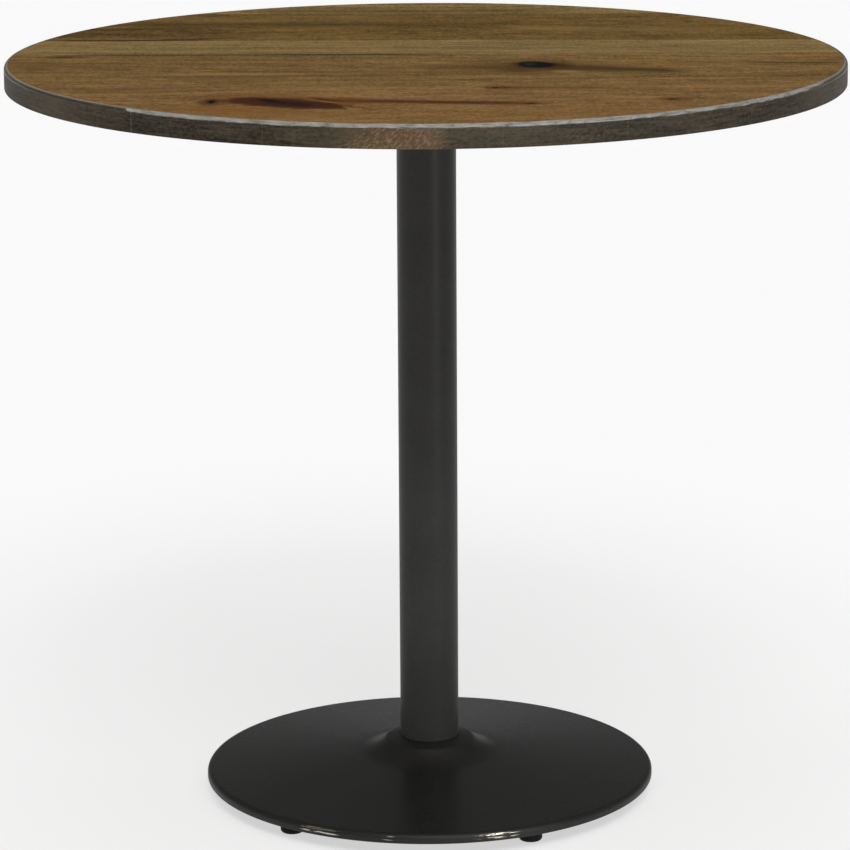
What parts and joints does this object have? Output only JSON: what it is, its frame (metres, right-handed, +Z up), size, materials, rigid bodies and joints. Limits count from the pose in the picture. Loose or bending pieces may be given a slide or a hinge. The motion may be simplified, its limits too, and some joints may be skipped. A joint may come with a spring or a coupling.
{
  "type": "counter height table",
  "caption": "Round counter height pedestal table: wood board top on a black steel column and a domed cast base with levelling glides.",
  "frame": {"origin": "on the floor, under the middle of the round top", "axes": "+Z up, +X along the boards, +Y towards the back of the picture"},
  "size_m": [1.0668, 1.0667, 0.9652],
  "materials": {
    "stained_wood": "stained, satin lacquer",
    "black_casting": "charcoal powder coat, satin",
    "black_steel": "charcoal powder coat, satin",
    "black_nylon": "moulded, matte",
    "zinc_steel": "zinc plated"
  },
  "bodies": {
    "table": {"board_1": "stained_wood", "board_2": "stained_wood", "board_3": "stained_wood", "board_4": "stained_wood", "board_5": "stained_wood", "board_6": "stained_wood", "spider": "black_casting", "spider_screws": "zinc_steel", "column_tube": "black_steel", "base_casting": "black_casting", "tie_rod": "zinc_steel", "rod_washer_top": "zinc_steel", "rod_nut_top": "zinc_steel", "rod_washer_bottom": "zinc_steel", "rod_nut_bottom": "zinc_steel"},
    "pad_1": {"glide_pad_1": "black_nylon"},
    "stud_1": {"glide_stud_1": "zinc_steel"},
    "pad_2": {"glide_pad_2": "black_nylon"},
    "stud_2": {"glide_stud_2": "zinc_steel"},
    "pad_3": {"glide_pad_3": "black_nylon"},
    "stud_3": {"glide_stud_3": "zinc_steel"},
    "pad_4": {"glide_pad_4": "black_nylon"},
    "stud_4": {"glide_stud_4": "zinc_steel"},
    "pad_5": {"glide_pad_5": "black_nylon"},
    "stud_5": {"glide_stud_5": "zinc_steel"}
  },
  "joints": [
    {"name": "glide_1_travel", "type": "slide", "parent": "table", "child": "pad_1", "axis": [0, 0, -1], "range_m": [0, 0.006]},
    {"name": "glide_1_turn", "type": "hinge", "parent": "pad_1", "child": "stud_1", "pos_m": [0.13174, -0.22276, 0.013], "axis": [0, 0, -1], "range_deg": [0, 1440]},
    {"name": "glide_2_travel", "type": "slide", "parent": "table", "child": "pad_2", "axis": [0, 0, -1], "range_m": [0, 0.006]},
    {"name": "glide_2_turn", "type": "hinge", "parent": "pad_2", "child": "stud_2", "pos_m": [0.25257, 0.05645, 0.013], "axis": [0, 0, -1], "range_deg": [0, 1440]},
    {"name": "glide_3_travel", "type": "slide", "parent": "table", "child": "pad_3", "axis": [0, 0, -1], "range_m": [0, 0.006]},
    {"name": "glide_3_turn", "type": "hinge", "parent": "pad_3", "child": "stud_3", "pos_m": [0.02436, 0.25765, 0.013], "axis": [0, 0, -1], "range_deg": [0, 1440]},
    {"name": "glide_4_travel", "type": "slide", "parent": "table", "child": "pad_4", "axis": [0, 0, -1], "range_m": [0, 0.006]},
    {"name": "glide_4_turn", "type": "hinge", "parent": "pad_4", "child": "stud_4", "pos_m": [-0.23752, 0.10278, 0.013], "axis": [0, 0, -1], "range_deg": [0, 1440]},
    {"name": "glide_5_travel", "type": "slide", "parent": "table", "child": "pad_5", "axis": [0, 0, -1], "range_m": [0, 0.006]},
    {"name": "glide_5_turn", "type": "hinge", "parent": "pad_5", "child": "stud_5", "pos_m": [-0.17115, -0.19413, 0.013], "axis": [0, 0, -1], "range_deg": [0, 1440]}
  ],
  "couplings": [
    {"joint": "glide_1_turn", "follows": "glide_1_travel", "rad_per_m": 4188.8},
    {"joint": "glide_2_turn", "follows": "glide_2_travel", "rad_per_m": 4188.8},
    {"joint": "glide_3_turn", "follows": "glide_3_travel", "rad_per_m": 4188.8},
    {"joint": "glide_4_turn", "follows": "glide_4_travel", "rad_per_m": 4188.8},
    {"joint": "glide_5_turn", "follows": "glide_5_travel", "rad_per_m": 4188.8}
  ]
}
